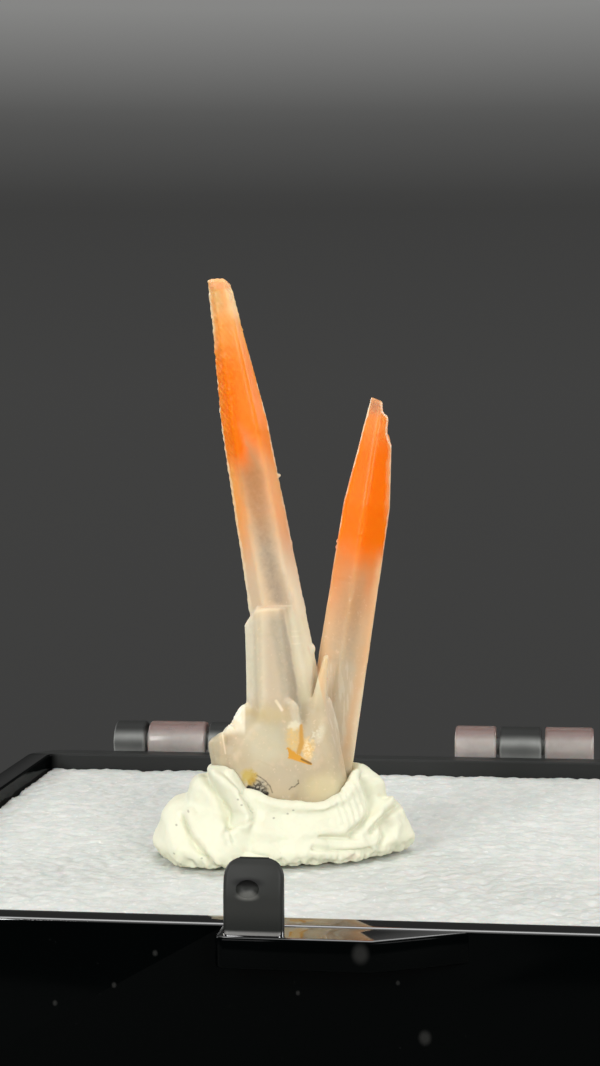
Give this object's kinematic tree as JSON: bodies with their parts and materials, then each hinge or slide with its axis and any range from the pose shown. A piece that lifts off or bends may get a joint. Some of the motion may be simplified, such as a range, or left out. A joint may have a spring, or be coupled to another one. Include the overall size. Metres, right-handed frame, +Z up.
{
  "type": "hematoid quartz",
  "caption": "Slim hematoid quartz crystals with orange iron-stained tips, grown from one foot and held by pale putty on the white foam pad of a small square black display box.",
  "frame": {"origin": "middle of the box's flat underside", "axes": "+Z up, along the crystals; -Y towards the box's catch; +Y towards its hinge; +X to the right seen from the catch"},
  "size_m": [0.056, 0.0623, 0.0526],
  "materials": {
    "quartz": "vitreous, milky at the foot, orange at the tips",
    "putty": "matte, pressed by hand",
    "foam": "matte foam",
    "box": "glossy black",
    "lid": "clear"
  },
  "bodies": {
    "root": {"quartz": "quartz", "putty": "putty", "foam_pad": "foam", "box_base": "box", "lid_barrel_left": "lid", "lid_barrel_middle": "lid", "lid_barrel_right": "lid"}
  },
  "joints": []
}
